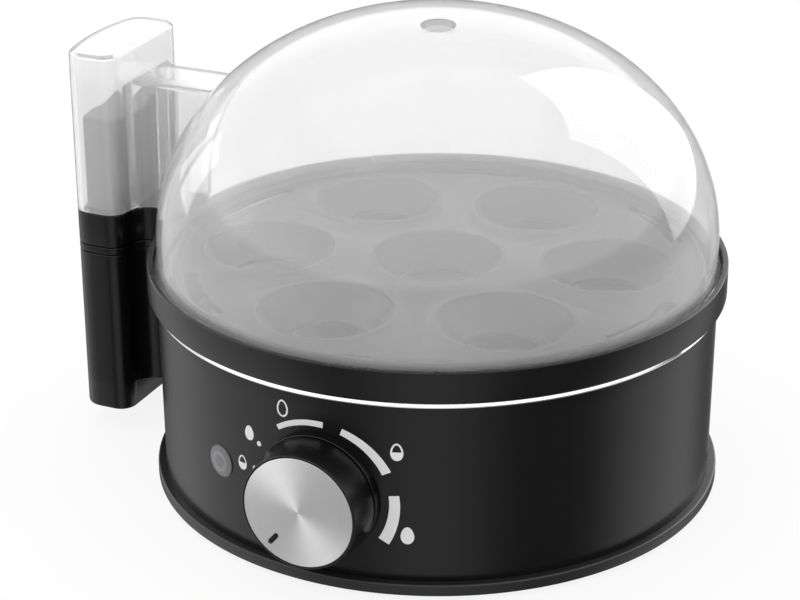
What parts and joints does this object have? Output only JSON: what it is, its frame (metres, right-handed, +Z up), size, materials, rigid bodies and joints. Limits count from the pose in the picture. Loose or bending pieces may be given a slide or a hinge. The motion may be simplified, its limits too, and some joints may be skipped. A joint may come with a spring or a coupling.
{
  "type": "electric egg cooker",
  "caption": "Round countertop egg steamer with a clear lift-off dome lid, egg tray, water dish, front knob, signal lens and a hollow side handle.",
  "frame": {"origin": "on the vertical axis of the round body, at the surface the cooker stands on", "axes": "+Z up; -Y out through the knob; -X out through the side handle"},
  "size_m": [0.235, 0.2117, 0.1666],
  "materials": {
    "black_plastic": "satin",
    "gloss_black": "gloss",
    "clear_plastic": "clear",
    "smoky_plastic": "smoky",
    "pale_plastic": "plain",
    "black_rubber": "matt",
    "bright_chrome": "polished",
    "cast_aluminium": "spun",
    "dish_steel": "brushed",
    "screw_steel": "zinc",
    "brass_parts": "plain",
    "bulb_glass": "clear"
  },
  "bodies": {
    "base": {"base_cover": "black_plastic", "foot_ring": "black_rubber", "cover_screws": "screw_steel", "housing_shell": "black_plastic", "trim_ring": "bright_chrome", "rim_collar": "black_plastic", "handle_grip": "black_plastic", "handle_band": "black_plastic", "handle_screws": "screw_steel", "grip_screws": "screw_steel", "lid_post": "black_plastic", "post_screw": "screw_steel", "water_dish": "dish_steel", "dish_seal": "black_rubber", "heat_spreader": "cast_aluminium", "heating_element": "dish_steel", "clamp_strap": "screw_steel", "spreader_studs": "screw_steel", "strap_nuts": "screw_steel", "thermal_fuse": "dish_steel", "fuse_clip": "screw_steel", "knob_bezel": "gloss_black", "regulator_body": "pale_plastic", "bush_nut": "screw_steel", "regulator_bracket": "screw_steel", "bracket_screws": "screw_steel", "lamp_lens": "smoky_plastic", "lamp_holder": "pale_plastic", "lamp_bulb": "bulb_glass", "terminal_block": "pale_plastic", "terminal_screws": "brass_parts", "cord_gland": "black_rubber", "inner_leads": "black_rubber"},
    "knob": {"knob_body": "gloss_black", "knob_face": "cast_aluminium", "knob_clip": "screw_steel", "regulator_spindle": "screw_steel"},
    "lid": {"lid": "clear_plastic"},
    "tray": {"egg_tray": "black_plastic"}
  },
  "joints": [
    {"name": "knob_turn", "type": "hinge", "parent": "base", "child": "knob", "pos_m": [0, -0.1, 0.0338], "axis": [0, 1, 0], "range_deg": [0, 260]},
    {"name": "lid_lift", "type": "slide", "parent": "base", "child": "lid", "axis": [0, 0, 1], "range_m": [0, 0.15]},
    {"name": "tray_lift", "type": "slide", "parent": "base", "child": "tray", "axis": [0, 0, 1], "range_m": [0, 0.06]}
  ],
  "couplings": [
    {"joint": "tray_lift", "follows": "lid_lift", "ratio": 0.4}
  ]
}
